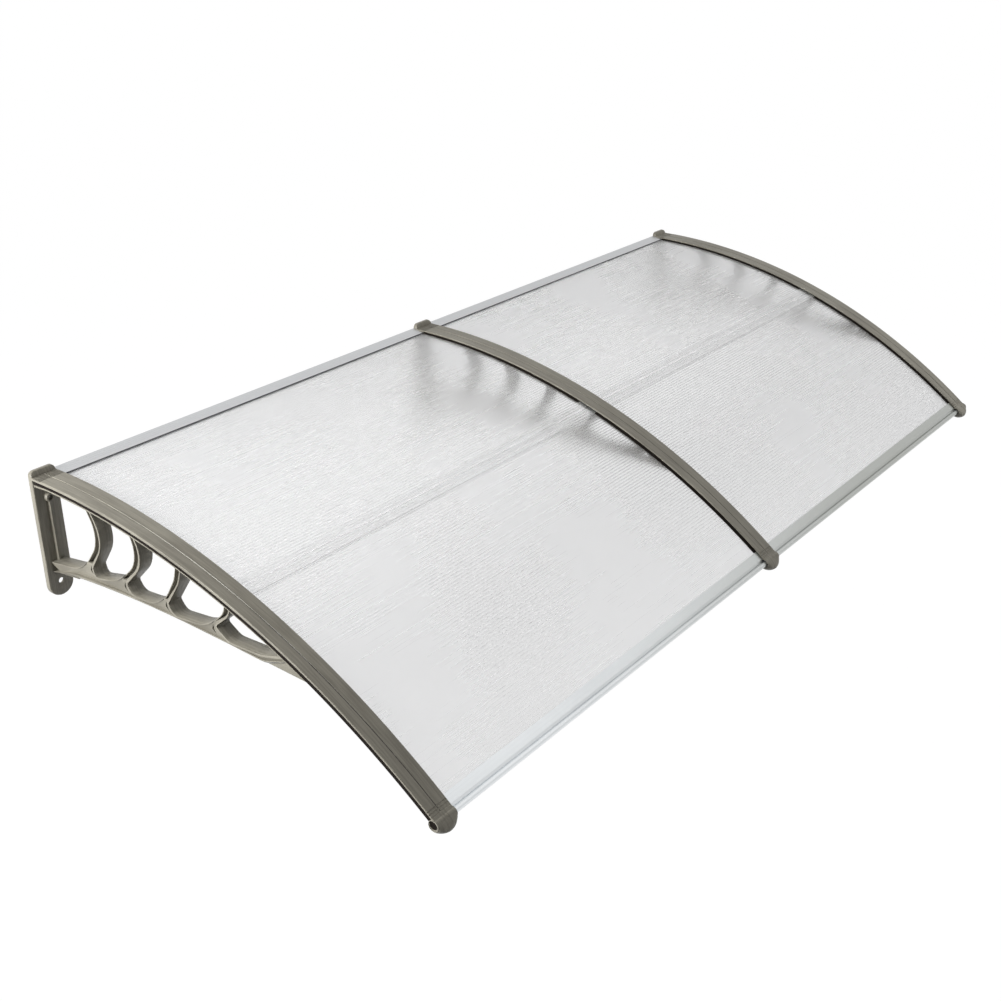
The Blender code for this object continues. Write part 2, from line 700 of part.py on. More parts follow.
def front_bar_outline():
    """Channel over the sheet's front edge, with a round bead along the drip edge."""
    sweep = math.pi - math.asin(BEAD_NECK_HALF / BEAD_RADIUS)
    bead = []
    for turn in np.linspace(-sweep, sweep, BEAD_STEPS + 1):
        bead.append((NOSE_RUN + BEAD_RADIUS * math.cos(turn), NOSE_DEPTH + BEAD_RADIUS * math.sin(turn)))
    edge, web = NOSE_RUN - FRONT_BAR_WIDTH, NOSE_RUN - FRONT_BAR_WEB_BACK
    shoulder = NOSE_RUN - FRONT_BAR_SHOULDER_BACK
    top_inner, low_inner = SHEET_TOP - GAP, SHEET_BOTTOM + GAP
    outline = [(edge, PROFILE_TOP), (shoulder, PROFILE_TOP)]
    outline += bead
    outline += [
        (shoulder, PROFILE_BOTTOM), (edge, PROFILE_BOTTOM), (edge, low_inner),
        (web, low_inner), (web, top_inner), (edge, top_inner),
    ]
    return [on_arc(run, depth) for run, depth in outline]


def surface(name, colour, roughness, metallic=0.0, alpha=1.0):
    """Material with one plain Principled shader."""
    material = bpy.data.materials.new(name)
    material.use_nodes = True
    shader = material.node_tree.nodes["Principled BSDF"]
    shader.inputs["Base Color"].default_value = (*colour, 1.0)
    shader.inputs["Roughness"].default_value = roughness
    shader.inputs["Metallic"].default_value = metallic
    shader.inputs["Alpha"].default_value = alpha
    return material


def finish(item, material):
    """Give a piece its material and smooth shading between its sharp edges."""
    item.data.materials.clear()
    item.data.materials.append(material)
    item.data.shade_smooth()
    item.data.set_sharp_from_angle(angle=SHARP_ANGLE)


def main():
    for item in list(bpy.data.objects):
        bpy.data.objects.remove(item)
    moulding = surface("bracket_moulding", (0.27, 0.26, 0.23), 0.55)
    clear_sheet = surface("twin_wall_sheet", (0.80, 0.81, 0.81), 0.35, alpha=0.6)
    clear_strip = surface("clear_connector", (0.85, 0.86, 0.86), 0.25, alpha=0.5)
    aluminium = surface("pale_aluminium", (0.78, 0.80, 0.81), 0.35, metallic=0.9)

    names = ["bracket_left", "bracket_middle", "bracket_right"]
    first = build_bracket(names[0], moulding)
    first.location.x = -BAY * BAYS / 2
    for index in range(1, BAYS + 1):
        copy = bpy.data.objects.new(names[index], first.data)
        copy.location.x = BAY * (index - BAYS / 2)
        bpy.context.scene.collection.objects.link(copy)

    sheet_start = run_at(PLATE_THICK + SHEET_WALL_CLEAR, SHEET_TOP)
    joint_left = CONNECTOR_RUN - CONNECTOR_WEB / 2 - GAP
    joint_right = CONNECTOR_RUN + CONNECTOR_WEB / 2 + GAP
    front_edge = NOSE_RUN - FRONT_BAR_WEB_BACK - GAP
    slot_clear = LIP_HALF + PROFILE_END_CLEAR
    for bay, side in zip(range(BAYS), ("left", "right")):
        build_sheet("sheet_rear_" + side, bay, sheet_start, joint_left, clear_sheet)
        build_sheet("sheet_front_" + side, bay, joint_right, front_edge, clear_sheet)
        profile_bar("connector_" + side, bay, connector_outline(),
                    WEB_HALF + PROFILE_END_CLEAR, clear_strip)
        profile_bar("rear_bar_" + side, bay, rear_bar_outline(),
                    FLANGE_HALF_WALL + GAP, aluminium)
        profile_bar("front_bar_" + side, bay, front_bar_outline(), slot_clear, aluminium)


main()
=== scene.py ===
"""Studio picture of a door canopy: moulded brackets, twin-wall sheets and aluminium bars.

The wall is the plane Y = 0 and the canopy reaches towards -Y. Lengths are in metres.
Depth is measured squarely down from the arc of the roof, run along it from its crest.
"""

import math

import bmesh
import bpy
import numpy as np
from mathutils import Matrix, Vector

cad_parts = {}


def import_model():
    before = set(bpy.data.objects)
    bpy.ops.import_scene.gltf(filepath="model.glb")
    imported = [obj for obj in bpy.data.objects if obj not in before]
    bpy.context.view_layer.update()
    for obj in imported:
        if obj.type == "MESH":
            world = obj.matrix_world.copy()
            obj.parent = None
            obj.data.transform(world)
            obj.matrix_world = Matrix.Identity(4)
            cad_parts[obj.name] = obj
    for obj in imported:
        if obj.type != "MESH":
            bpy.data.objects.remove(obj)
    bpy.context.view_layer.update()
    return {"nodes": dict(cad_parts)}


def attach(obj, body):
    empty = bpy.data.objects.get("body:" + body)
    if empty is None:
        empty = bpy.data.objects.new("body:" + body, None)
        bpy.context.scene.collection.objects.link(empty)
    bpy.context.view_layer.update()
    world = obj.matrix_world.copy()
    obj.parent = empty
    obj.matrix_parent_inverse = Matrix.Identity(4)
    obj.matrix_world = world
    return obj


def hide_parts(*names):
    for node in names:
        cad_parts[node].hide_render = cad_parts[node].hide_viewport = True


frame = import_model()


# Bracket mouldings
# Each bracket is one injection moulding in grey-brown filled nylon: a wall plate,
# an open truss and a nose. Its soft-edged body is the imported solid, with every
# edge rounded as a mould leaves it.
BAY = 1.000
BRACKETS = (("bracket_left", -BAY), ("bracket_middle", 0.0), ("bracket_right", BAY))
ARC_RADIUS = 1.4352
CREST_REACH = 0.0358
FLANGE_THICK = 0.0044
NOSE_RUN = 0.9370
NOSE_DEPTH = 0.0082
RECESS_RADIUS = 0.0070
PLATE_THICK = 0.0100
CHORD_Z = -0.1712
CHORD_WALL_Z = -0.1942
CHORD_LEVEL_REACH = 0.358
CHORD_END_Z = -0.1745
CHORD_RISE_REACH = 0.552
CHORD_RISE_SLOPE = 0.468
CHORD_RISE_SOFT = 0.0136
BELLY_START = 0.009
BELLY_END = 0.618
BELLY_HEIGHT = 0.0120
BELLY_WALL_HEIGHT = 0.0045
BELLY_GROWN = 0.060
BELLY_TAPER = 0.545
BELLY_LAST_HEIGHT = 0.0050
BELLY_STOP = 0.0040
SHELF_THICK = 0.0030
LIP_FOOT = 0.0010
LIP_LEAN = 0.35
RIM_HALF = 0.0135
RIM_EDGE = 0.0008
NOSE_BACK = 0.0215
RECESS_NEAR = 0.0003
PLATE_NEAR = 0.0005
FLANGE_NEAR = 0.0002
PULL_IN = 0.0007
THICKNESS_KEPT = 0.2
WIDTH_KEPT = 0.955
CHORD_KEPT = 0.45
SHELF_KEPT = 0.42
CHORD_SHARE = 0.9
SHELF_SHARE = 1.3
CHORD_RAISE = 1.8
EDGE_ROUND = 0.00045
EDGE_SEGMENTS = 2
EDGE_ANGLE = math.radians(32)
SHARP_ANGLE = math.radians(26)
FLAT_ANGLE = math.radians(0.5)
MERGE = 0.00002
MOULDING_COLOUR = (0.232, 0.219, 0.180)
MOULDING_DARK = (0.105, 0.096, 0.077)
GROOVE_SHADE_COLOUR = (0.030, 0.027, 0.023)
STREAK_STRETCH = (330, 14, 14)
GRAIN_SCALE = 900
CLOUD_SCALE = 9
DARK_SHARES = (0.42, 0.20, 0.15, 0.1)
GROOVE_SHADE_SHARE = 0.9
MOULDING_ROUGHNESS = (0.30, 0.10, 0.12)
MOULDING_BUMP = (0.6, 0.15)


def on_arc(run, depth):
    """Reach and height on a circle of the arc's radius less depth, turned by run over radius."""
    angle = run / ARC_RADIUS
    radius = ARC_RADIUS - depth
    return CREST_REACH + radius * np.sin(angle), radius * np.cos(angle) - ARC_RADIUS


def from_arc(reach, height):
    """Run is the turn about the centre times the radius, depth the radius less the distance."""
    up = height + ARC_RADIUS
    out = reach - CREST_REACH
    return ARC_RADIUS * np.arctan2(out, up), ARC_RADIUS - np.hypot(out, up)


def world(x, run, depth):
    """Stack X, run and depth into points: Y is the reach turned round, Z the height."""
    reach, height = on_arc(run, depth)
    x = np.broadcast_to(x, reach.shape)
    return np.stack((x, -reach, height), axis=-1)


def chord_bottom(reach):
    """Underside of the chord: falls as a square to both ends, then bends up along a parabola."""
    short = np.clip(1 - reach / CHORD_LEVEL_REACH, 0, None)
    far = np.clip((reach - CHORD_LEVEL_REACH) / (CHORD_RISE_REACH - CHORD_LEVEL_REACH), 0, 1)
    past = reach - CHORD_RISE_REACH + CHORD_RISE_SOFT
    bend = np.clip(past, 0, 2 * CHORD_RISE_SOFT) ** 2 / (4 * CHORD_RISE_SOFT)
    climb = bend + np.clip(past - 2 * CHORD_RISE_SOFT, 0, None)
    drop = (CHORD_WALL_Z - CHORD_Z) * short ** 2 + (CHORD_END_Z - CHORD_Z) * far ** 2
    return CHORD_Z + drop + CHORD_RISE_SLOPE * climb


def belly_height(reach):
    """The keel grows evenly away from the wall, and shrinks evenly where the chord runs out."""
    grown = np.clip((reach - BELLY_START) / (BELLY_GROWN - BELLY_START), 0, 1)
    share = np.clip((reach - BELLY_TAPER) / (BELLY_END - BELLY_TAPER), 0, 1)
    height = BELLY_WALL_HEIGHT + (BELLY_HEIGHT - BELLY_WALL_HEIGHT) * grown
    return height + (BELLY_LAST_HEIGHT - BELLY_HEIGHT) * share


class Wire:
    """One socket of a shader tree; arithmetic on it adds Math nodes."""

    def __init__(self, finish, socket):
        self.finish, self.socket = finish, socket

    def maths(self, operation, *values):
        node = self.finish.node("Math", {"operation": operation}, dict(enumerate(values)))
        return Wire(self.finish, node.outputs[0])

    def __add__(self, other):
        return self.maths("ADD", self, other)

    def __mul__(self, other):
        return self.maths("MULTIPLY", self, other)

    def ramp(self, low, high):
        """Smooth rise from 0 to 1 between two values."""
        node = self.finish.node(
            "MapRange", {"interpolation_type": "SMOOTHSTEP"}, {0: self, 1: low, 2: high})
        return Wire(self.finish, node.outputs[0])


class Tree:
    """A shader tree put together from Python expressions."""

    def __init__(self, tree):
        self.tree = tree

    def node(self, kind, settings=None, sockets=None):
        """Add a node: its settings first, then the values or links of its sockets."""
        node = self.tree.nodes.new("ShaderNode" + kind)
        for key, value in (settings or {}).items():
            setattr(node, key, value)
        self.set(node, sockets or {})
        return node

    def set(self, node, sockets):
        for key, value in sockets.items():
            target = node.inputs[key]
            if isinstance(value, Wire):
                self.tree.links.new(value.socket, target)
            else:
                target.default_value = value

    def wire(self, node, output=0):
        return Wire(self, node.outputs[output])


class Finish(Tree):
    """A material around a Principled shader."""

    def __init__(self, name, **constants):
        self.material = bpy.data.materials.new(name)
        self.material.use_nodes = True
        super().__init__(self.material.node_tree)
        self.shader = self.tree.nodes["Principled BSDF"]
        self.set(self.shader, {key.replace("_", " "): value for key, value in constants.items()})

    def place(self):
        """X, Y and Z of the surface in the piece's own coordinates."""
        split = self.node("SeparateXYZ", None, {0: self.wire(self.node("TexCoord"), "Object")})
        return [self.wire(split, axis) for axis in range(3)]

    def attribute(self, name):
        return self.wire(self.node("Attribute", {"attribute_name": name}), "Fac")

    def noise(self, scale, detail, stretch=(1, 1, 1)):
        """Cloudy noise between 0 and 1; a larger stretch makes it finer along that axis."""
        point = self.node("VectorMath", {"operation": "MULTIPLY"},
                          {0: self.wire(self.node("TexCoord"), "Object"), 1: stretch})
        return self.wire(self.node("TexNoise", None, {
            "Vector": self.wire(point), "Scale": scale, "Detail": detail}))

    def mix(self, share, first, second):
        """Mix two colours by a share."""
        node = self.node("Mix", {"data_type": "RGBA"}, {0: share, 6: first, 7: second})
        return Wire(self, node.outputs[2])

    def bump(self, height, strength, distance):
        node = self.node("Bump", None, {
            "Height": height, "Strength": strength, "Distance": distance})
        self.set(self.shader, {"Normal": self.wire(node)})

    def blend(self, share, other):
        """Mix a share of another shader over the Principled one as the surface."""
        both = self.node("MixShader", None, {
            0: share, 1: self.wire(self.shader), 2: self.wire(other)})
        self.set(self.tree.nodes["Material Output"], {"Surface": self.wire(both)})


def rgba(colour):
    return (*colour, 1.0)


def moulded_finish():
    """Satin nylon: dark flow streaks, a fine grain, darker, duller patches and painted shade in
    the grooves.
    """
    finish = Finish("moulded_nylon", IOR=1.5, Specular_IOR_Level=0.35)
    streaks = finish.noise(1.0, 3, STREAK_STRETCH)
    grain = finish.noise(GRAIN_SCALE, 2)
    cloud = finish.noise(CLOUD_SCALE, 2)
    in_streaks, in_clouds, in_grain, everywhere = DARK_SHARES
    share = (streaks.ramp(0.3, 0.7) * in_streaks + cloud.ramp(0.35, 0.7) * in_clouds
             + grain.ramp(0.3, 0.7) * in_grain + everywhere)
    colour = finish.mix(share, rgba(MOULDING_COLOUR), rgba(MOULDING_DARK))
    # Painted shade: the groove attribute darkens the flange's grooves as if they were shaded
    # inside.
    colour = finish.mix(finish.attribute("groove") * GROOVE_SHADE_SHARE, colour, rgba(GROOVE_SHADE_COLOUR))
    least, by_grain, by_cloud = MOULDING_ROUGHNESS
    finish.set(finish.shader, {
        "Base Color": colour, "Roughness": grain * by_grain + cloud * by_cloud + least})
    grain_height, streak_height = MOULDING_BUMP
    finish.bump(grain * grain_height + streaks * streak_height, 0.25, 0.0003)
    return finish.material


def merged_copy(node, name):
    """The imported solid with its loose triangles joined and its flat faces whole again."""
    shape = bmesh.new()
    shape.from_mesh(frame["nodes"][node].data)
    bmesh.ops.remove_doubles(shape, verts=shape.verts, dist=MERGE)
    bmesh.ops.dissolve_limit(
        shape, angle_limit=FLAT_ANGLE, verts=shape.verts, edges=shape.edges)
    mesh = bpy.data.meshes.new(name)
    shape.to_mesh(mesh)
    shape.free()
    return mesh


def tuck_under(mesh, centre):
    """Move the old flange and nose faces a little inwards, under the pieces that cover them.

    Depth goes towards the flange's middle, X towards the centre by a small share,
    the nose shrinks about its own axis by a fixed distance, and the chord's rounded
    underside narrows by a share and rises a little. The lip over the flange leans
    back to the wall in proportion to the height.
    """
    points = np.empty(len(mesh.vertices) * 3)
    mesh.vertices.foreach_get("co", points)
    points = points.reshape(-1, 3)
    x = points[:, 0] - centre
    run, depth = from_arc(-points[:, 1], points[:, 2])
    along, below = run - NOSE_RUN, depth - NOSE_DEPTH
    away = np.hypot(along, below)
    nose = (run > NOSE_RUN - NOSE_BACK) & (away > RECESS_RADIUS + RECESS_NEAR)
    flange = (-points[:, 1] > PLATE_THICK - PLATE_NEAR) & ~nose
    flange = flange & (depth < FLANGE_THICK + FLANGE_NEAR)
    flatter = FLANGE_THICK / 2 + (depth - FLANGE_THICK / 2) * THICKNESS_KEPT
    depth = np.where(flange, flatter, depth)
    shrink = 1 - PULL_IN / np.maximum(away, PULL_IN)
    run = np.where(nose, NOSE_RUN + along * shrink, run)
    depth = np.where(nose, NOSE_DEPTH + below * shrink, depth)
    x = np.where(flange | nose, x * WIDTH_KEPT, x)
    place = world(x + centre, run, depth)
    reach, height = -place[:, 1], place[:, 2]
    bottom = chord_bottom(reach)
    inside = (reach > BELLY_START / 2) & (reach < BELLY_END - BELLY_STOP)
    inside = inside & (height > bottom - PULL_IN)
    chord = inside & (height < bottom + belly_height(reach) * CHORD_SHARE)
    chord = chord & (np.abs(x) < RIM_HALF - RIM_EDGE)
    shelf = inside & (height < bottom + SHELF_SHARE * SHELF_THICK) & ~chord
    narrow = np.where(chord, CHORD_KEPT, np.where(shelf, SHELF_KEPT, 1.0))
    raised = np.maximum(height, bottom + PULL_IN * CHORD_RAISE)
    place[:, 0] = centre + x * narrow
    place[:, 2] = np.where(chord | shelf, raised, height)
    lip = (reach > PLATE_THICK / 2) & (height > LIP_FOOT)
    place[:, 1] = np.where(lip, -(reach - LIP_LEAN * height), -reach)
    mesh.vertices.foreach_set("co", place.ravel())
    mesh.update()


def smooth_edges(piece):
    """Round the sharp edges and smooth the shading between them."""
    piece.data.shade_smooth()
    bevel = piece.modifiers.new("edges", "BEVEL")
    bevel.width = EDGE_ROUND
    bevel.segments = EDGE_SEGMENTS
    bevel.limit_method = "ANGLE"
    bevel.angle_limit = EDGE_ANGLE
    bevel.harden_normals = True


def piece_from(mesh, material, slot, *nodes):
    """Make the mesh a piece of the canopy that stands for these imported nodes."""
    piece = bpy.data.objects.new(mesh.name, mesh)
    bpy.context.scene.collection.objects.link(piece)
    piece.data.materials.clear()
    piece.data.materials.append(material)
    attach(piece, "root")
    if nodes:
        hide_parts(*nodes)
    return piece


moulding = moulded_finish()
for node, centre in BRACKETS:
    body_mesh = merged_copy(node, node + "_body")
    tuck_under(body_mesh, centre)
    smooth_edges(piece_from(body_mesh, moulding, "bracket_moulding", node))


# Top flange of each bracket
# The broad strip over the sheets' edges is part of the same moulding. It narrows
# towards the nose and thins out to its soft edges. A fine groove and ridge run
# along its middle, with shallow cross grooves by the wall plate and the nose.
# Painted shade darkens the cross grooves and the middle groove, the latter more
# towards the nose.
FLANGE_HALF_WALL = 0.0255
FLANGE_TAPER = 0.0040
FLANGE_START = -0.0278
FLANGE_END = 0.9330
FLANGE_SOFT = 0.0008
FLANGE_EDGE = 0.0031
OUTER_EDGE = 0.0050
OUTER_EDGE_RUNS = (0.45, 0.68)
FLANGE_THIN = 0.0075
LINE_DIP = 0.0006
LINE_RIDGE = -0.0005
MIDDLE_LINE = ((-0.0030, 0.0), (-0.0024, 0.0), (-0.0020, LINE_DIP), (-0.0010, LINE_DIP),
               (-0.0006, 0.0), (-0.0003, LINE_RIDGE), (0.0003, LINE_RIDGE), (0.0008, 0.0),
               (0.0014, 0.0))
LINE_CHANGE = (0.40, 0.58)
LINE_SHADE = (0.0, 0.5, 0.5)
CROSS_GROOVE = (0.0012, 0.0018)
GROOVE_RUNS = np.concatenate((np.arange(7) * 0.0037 - 0.0255,
                              NOSE_RUN - 0.0100 - np.arange(3) * 0.0052))
FLANGE_STATIONS = 140
EDGE_STEPS = 5


def grid_mesh(name, points):
    """Quads over a grid of points: the columns close into a loop and the two ends take a cap."""
    rows, columns = points.shape[:2]
    index = np.arange(rows * columns).reshape(rows, columns)
    index = np.concatenate((index, index[:, :1]), axis=1)
    quads = np.stack((index[:-1, :-1], index[:-1, 1:], index[1:, 1:], index[1:, :-1]), axis=-1)
    caps = [index[0, :columns].tolist(), index[-1, :columns].tolist()]
    mesh = bpy.data.meshes.new(name)
    mesh.from_pydata(points.reshape(-1, 3).tolist(), [], quads.reshape(-1, 4).tolist() + caps)
    shape = bmesh.new()
    shape.from_mesh(mesh)
    bmesh.ops.recalc_face_normals(shape, faces=shape.faces)
    shape.to_mesh(mesh)
    shape.free()
    mesh.shade_smooth()
    mesh.set_sharp_from_angle(angle=SHARP_ANGLE)
    return mesh


def flange_half(run):
    """Half width falls evenly with the run, from the wall to the nose."""
    return FLANGE_HALF_WALL - FLANGE_TAPER * (run + CREST_REACH) / (NOSE_RUN + CREST_REACH)


def flange_stations():
    """Even steps along the arc, with three more across each cross groove."""
    close = (GROOVE_RUNS[:, None] + np.array((-1, 0, 1)) * CROSS_GROOVE[0]).ravel()
    even = np.linspace(FLANGE_START, FLANGE_END, FLANGE_STATIONS)
    clear = np.abs(even[:, None] - GROOVE_RUNS).min(axis=1) > 1.5 * CROSS_GROOVE[0]
    return np.sort(np.concatenate((even[clear], close)))


def edge_height(run, outer):
    """An open slot's edge is deeper near the wall and thins out evenly; the others don't."""
    share = np.clip((run - OUTER_EDGE_RUNS[0]) / (OUTER_EDGE_RUNS[1] - OUTER_EDGE_RUNS[0]), 0, 1)
    return FLANGE_EDGE + outer * (OUTER_EDGE - FLANGE_EDGE) * (1 - share)


def line_change(run):
    """Smooth step of the run: the middle ridge fades out and its groove gets darker."""
    share = np.clip((run - LINE_CHANGE[0]) / (LINE_CHANGE[1] - LINE_CHANGE[0]), 0, 1)
    return share * share * (3 - 2 * share)


def flange_grid(centre, dark):
    """Section carried along the arc: its upper edges are quarter circles, and dips are added.

    Each cross groove is a V, as deep as the distance to its middle is small. The
    second result is the painted shade in each point's groove, from 0 to 1.
    """
    runs = flange_stations()
    turn = np.linspace(0, math.pi / 2, EDGE_STEPS)
    edge_in = np.concatenate((FLANGE_SOFT * (1 - np.cos(turn)), [2.5 * FLANGE_SOFT]))
    edge_down = np.concatenate((FLANGE_SOFT * (1 - np.sin(turn)), [0.0]))
    middle = np.array(MIDDLE_LINE)
    below_in = np.array((FLANGE_THIN, FLANGE_SOFT / 2, 0.0))
    below_down = np.array((FLANGE_THICK, 0.0, -FLANGE_SOFT / 2))
    inset = np.concatenate(
        (edge_in, np.zeros(len(middle)), edge_in[::-1], below_in[::-1], below_in))
    depth = np.concatenate(
        (edge_down, middle[:, 1], edge_down[::-1], below_down[::-1], below_down))
    edges, under = len(edge_in), len(below_in)
    side = np.repeat((-1, 0, 1, 1, -1), (edges, len(middle), edges, under, under))
    offset = np.concatenate((np.zeros(edges), middle[:, 0], np.zeros(edges + 2 * under)))
    top = np.repeat((0, 1, 0), (1, 2 * edges + len(middle) - 2, 2 * under + 1))
    nearest = np.abs(runs[:, None] - GROOVE_RUNS).min(axis=1)
    cross = CROSS_GROOVE[1] * np.clip(1 - nearest / CROSS_GROOVE[0], 0, 1)
    x = centre + side * (flange_half(runs)[:, None] - inset) + offset
    edge_part = np.repeat((0, 1), (len(depth) - 2 * under, 2 * under))
    edge_part = edge_part * (np.abs(inset - FLANGE_THIN) > MERGE)
    outer = np.where(side < 0, centre < -BAY / 2, centre > BAY / 2)
    change = line_change(runs)[:, None]
    depths = np.where(depth < 0, depth * np.where(top > 0, 1 - change, 1), depth)
    depths = depths + cross[:, None] * top + edge_height(runs[:, None], outer) * edge_part
    bottom = top * (depth == LINE_DIP) * (side == 0)
    in_cross = cross[:, None] / CROSS_GROOVE[1] * top
    # Painted shade in the grooves: the middle groove's bottom darkens towards the nose, and the
    # cross grooves darken with their depth.
    groove_shade = np.maximum(bottom * (dark + (1 - dark) * change), in_cross)
    return world(x, np.broadcast_to(runs[:, None], x.shape), depths), groove_shade


for (node, centre), dark in zip(BRACKETS, LINE_SHADE):
    points, groove_shade = flange_grid(centre, dark)
    mesh = grid_mesh(node + "_flange", points)
    mesh.attributes.new("groove", "FLOAT", "POINT").data.foreach_set("value", groove_shade.ravel())
    piece_from(mesh, moulding, "bracket_moulding", node)


# Slot strips
# Painted shade: black strips fill the open slot on the outer side of each end
# bracket, where there is only deep shade. In the other slots a thin black strip
# stands for the shade in the gap over the sheets' edges, and on the left side of a
# bracket its fin lies on the sheet as painted shade, wider towards the nose.
STRIP_BACK = 0.0002
STRIP_WIDTH = 0.0050
STRIP_START = -0.0200
STRIP_END = 0.9290
OUTER_STRIP_BOTTOM = 0.0104
INNER_STRIP_BOTTOM = 0.0059
INNER_STRIPS = ((-0.0050, 0.4245), (0.4705, 0.9085))
FIN_WIDTHS = (0.0040, 0.0070)
STRIP_STATIONS = 90
RECESS_SHADE_COLOUR = (0.007, 0.0055, 0.0045)
RUBBER_GRAIN = 1500
RUBBER_PALER = 1.6
RUBBER_ROUGHNESS = (0.7, 0.2)


def rubber_and_shade_finish(name, colour):
    """Dark rubber with a fine grain; in the slots and sockets it is painted shade."""
    finish = Finish(name, Specular_IOR_Level=0.06)
    grain = finish.noise(RUBBER_GRAIN, 2)
    paler = tuple(channel * RUBBER_PALER for channel in colour)
    least, spread = RUBBER_ROUGHNESS
    finish.set(finish.shader, {
        "Base Color": finish.mix(grain, rgba(colour), rgba(paler)),
        "Roughness": grain * spread + least})
    return finish.material


def fin_width(run, side, outer):
    """A fin widens in a straight line along the arc; the other strips have none."""
    share = run / NOSE_RUN
    width = FIN_WIDTHS[0] + (FIN_WIDTHS[1] - FIN_WIDTHS[0]) * share
    return np.where(outer | (side > 0), 0.0, width)


def strip_grid(centre, side, low, high, outer):
    """Four-sided section from just inside the flange's edge, carried along the arc."""
    run = np.linspace(low, high, STRIP_STATIONS)[:, None]
    edge = flange_half(run) - STRIP_BACK
    fin = edge + fin_width(run, side, outer)
    back = edge - STRIP_WIDTH
    x = centre + side * np.concatenate((edge, fin, back, back), axis=1)
    top = edge_height(run, outer) - STRIP_BACK
    inner_top = np.full_like(run, FLANGE_THICK)
    deep = np.full_like(run, OUTER_STRIP_BOTTOM if outer else INNER_STRIP_BOTTOM)
    depth = np.concatenate((top, deep, deep, inner_top), axis=1)
    return world(x, np.broadcast_to(run, x.shape), depth)


# Painted shade: this black finish fills the slots and unused sockets, standing for the deep shade
# inside them.
recess_shade = rubber_and_shade_finish("painted_recess_shade", RECESS_SHADE_COLOUR)
for node, centre in BRACKETS:
    for side, label in ((-1, "west"), (1, "east")):
        outer = side * centre > 0
        spans = ((STRIP_START, STRIP_END),) if outer else INNER_STRIPS
        for low, high in spans:
            points = strip_grid(centre, side, low, high, outer)
            name = node + "_strip_" + label + ("_front" if low > 0 else "")
            piece_from(grid_mesh(name, points), recess_shade, None)


# Belly of each chord
# The chord that carries the openings has a soft keel below: the moulding narrows
# from the rims down to its lowest line.
BELLY_HALF = 0.0134
BELLY_STATIONS = 90
BELLY_AROUND = 25
BELLY_POWER = 1.8
LID_SHARE = 0.9
LID_RISE = 0.06


def belly_grid(centre):
    """Keel under the chord: a half ellipse, its cosine and sine raised to a power over one."""
    reach = np.linspace(BELLY_START, BELLY_END, BELLY_STATIONS)[:, None]
    turn = np.linspace(0, math.pi, BELLY_AROUND)
    bottom, height = chord_bottom(reach), belly_height(reach)
    x = -BELLY_HALF * np.sign(np.cos(turn)) * np.abs(np.cos(turn)) ** BELLY_POWER
    z = bottom + height * (1 - np.abs(np.sin(turn)) ** BELLY_POWER)
    x = np.concatenate((x, x[-1:] * LID_SHARE, x[:1] * LID_SHARE))
    lid = bottom + height + BELLY_HALF * LID_RISE
    z = np.concatenate((z, lid, lid), axis=1)
    x, y = np.broadcast_to(centre + x, z.shape), np.broadcast_to(-reach, z.shape)
    return np.stack((x, y, z), axis=-1)


for node, centre in BRACKETS:
    mesh = grid_mesh(node + "_belly", belly_grid(centre))
    piece_from(mesh, moulding, "bracket_moulding", node)


# Nose of each bracket
# The moulding ends in a pillow-shaped nose, widest in the middle, with a round
# socket in each side that takes the bead of the front bar. A black disc in the
# unused socket on the outer side of each end bracket is painted shade for the
# empty hole.
NOSE_HALF = 0.0220
NOSE_END_RADIUS = 0.0104
NOSE_MID_RADIUS = 0.0208
NOSE_PROUD = 0.0005
NOSE_EDGE = 0.0012
NOSE_AROUND = 96
NOSE_ACROSS = 49
SOCKET_RADIUS = 0.0092
SOCKET_FLOOR = 0.0027
SOCKET_MIDDLE = 0.0001
SOCKET_CHAMFER = (0.0006, 0.0005)
EDGE_TURNS = 4
PANEL_ANGLE = math.radians(48)
PANEL_AWAY = 0.0132
PANEL_HALF = 0.0170
PANEL_SOFT = 0.0010
SOCKET_SHADE_BACK = 0.0015
SOCKET_SHADE_CLEAR = 0.0002


def nose_section(turn, radius):
    """Offsets in run and depth of four quarter ellipses around the bead's axis.

    They reach the radius ahead and below, the end radius behind, and a little over
    the flange above.
    """
    along, below = np.cos(turn), np.sin(turn)
    ahead = along > 0
    run = np.where(ahead, radius, NOSE_END_RADIUS) * along
    depth = np.where(below > 0, radius, NOSE_DEPTH + NOSE_PROUD) * below
    return run, depth


def flattened(x, ahead, below):
    """Press what is past a sloping plane back onto it, except near the nose's two sides."""
    slope = np.array((math.cos(PANEL_ANGLE), -math.sin(PANEL_ANGLE)))
    past = np.clip(ahead * slope[0] + below * slope[1] - PANEL_AWAY, 0, None)
    past = past * np.clip((PANEL_HALF - np.abs(x)) / PANEL_SOFT, 0, 1)
    return ahead - past * slope[0], below - past * slope[1]


